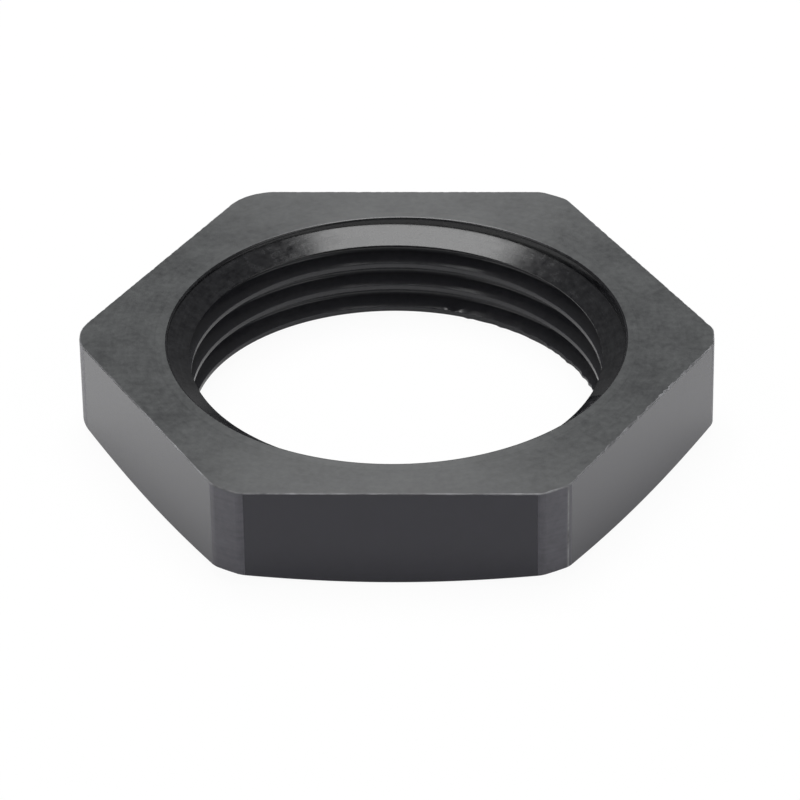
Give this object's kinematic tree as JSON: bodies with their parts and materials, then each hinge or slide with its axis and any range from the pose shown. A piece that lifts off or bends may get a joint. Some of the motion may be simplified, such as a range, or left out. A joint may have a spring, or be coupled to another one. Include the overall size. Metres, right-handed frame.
{
  "type": "cable gland locknut",
  "caption": "Flat hexagonal locknut in black polyamide with a fine right-hand thread, turned corners, a chamfered underside and a stepped countersink in its upper face.",
  "frame": {"origin": "centre of the chamfered underside, on the thread's axis", "axes": "+Z along the thread's axis from the chamfered underside to the flat upper face; +X through two opposite corners; +Y square to two opposite flats"},
  "size_m": [0.036, 0.032, 0.006],
  "materials": {
    "polyamide": "satin black polyamide, turned and tapped, with faint turning marks on its upper face and small pale burrs along its edges"
  },
  "bodies": {
    "root": {"locknut": "polyamide"}
  },
  "joints": []
}
